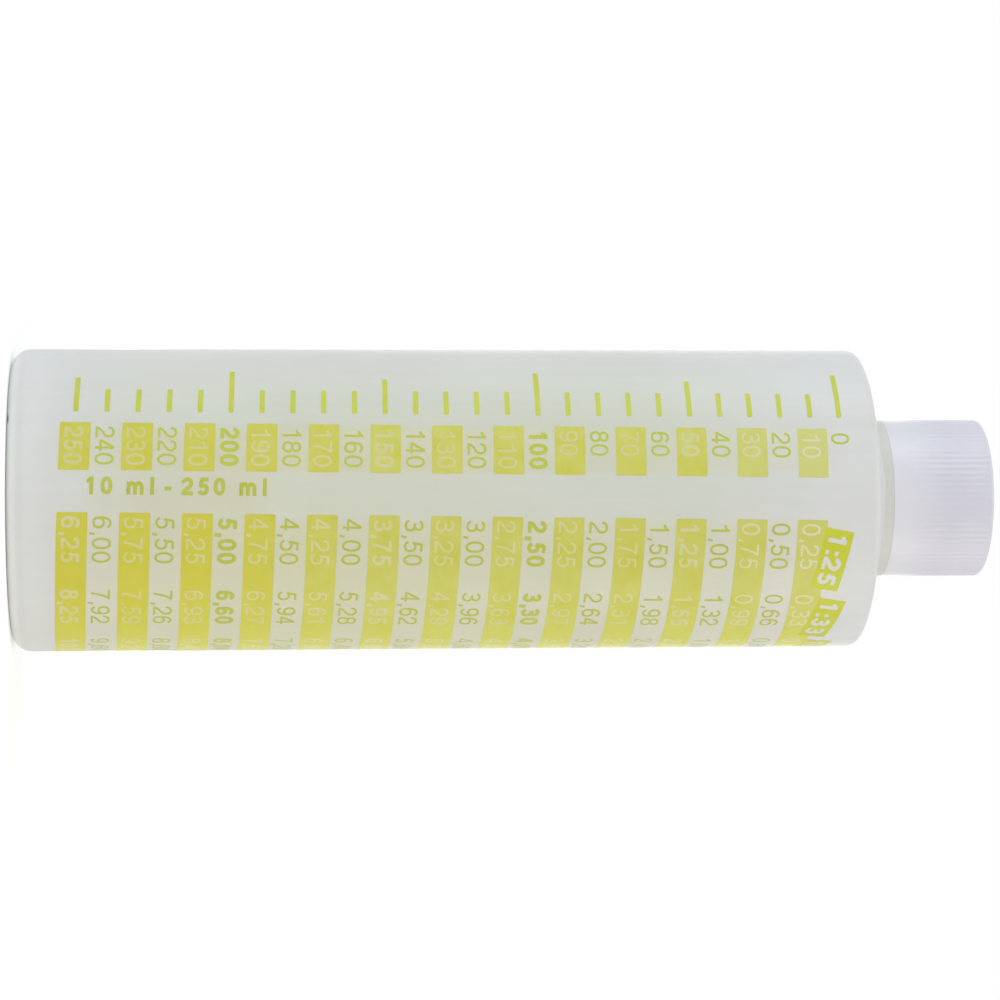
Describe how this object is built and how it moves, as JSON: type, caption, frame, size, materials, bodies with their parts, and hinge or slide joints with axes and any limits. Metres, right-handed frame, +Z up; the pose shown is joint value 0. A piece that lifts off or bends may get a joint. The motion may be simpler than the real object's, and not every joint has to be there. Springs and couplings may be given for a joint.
{
  "type": "oil mixing bottle",
  "caption": "Slim cylindrical plastic measuring bottle with a printed scale and mixing-ratio table, a threaded neck and a ribbed screw cap with a sealing liner.",
  "frame": {"origin": "centre of the standing ring under the base", "axes": "+Z up along the bottle's axis to the cap; -Y is the front, where the printed scale is read; +X is to the reader's right"},
  "size_m": [0.0516, 0.0516, 0.1674],
  "materials": {
    "bottle": "natural milky polyethylene, satin",
    "liner": "foamed polyethylene, matt",
    "cap": "white polypropylene, satin"
  },
  "bodies": {
    "bottle": {"bottle_body": "bottle"},
    "seal": {"cap_liner": "liner"},
    "cap": {"screw_cap": "cap"}
  },
  "joints": [
    {"name": "cap_rise", "type": "slide", "parent": "bottle", "child": "seal", "axis": [0, 0, 1], "range_m": [0, 0.0191]},
    {"name": "cap_turn", "type": "hinge", "parent": "seal", "child": "cap", "pos_m": [0, 0, 0.16], "axis": [0, 0, 1], "range_deg": [0, 2160]}
  ],
  "couplings": [
    {"joint": "cap_rise", "follows": "cap_turn", "m_per_rad": 0.00050532}
  ]
}
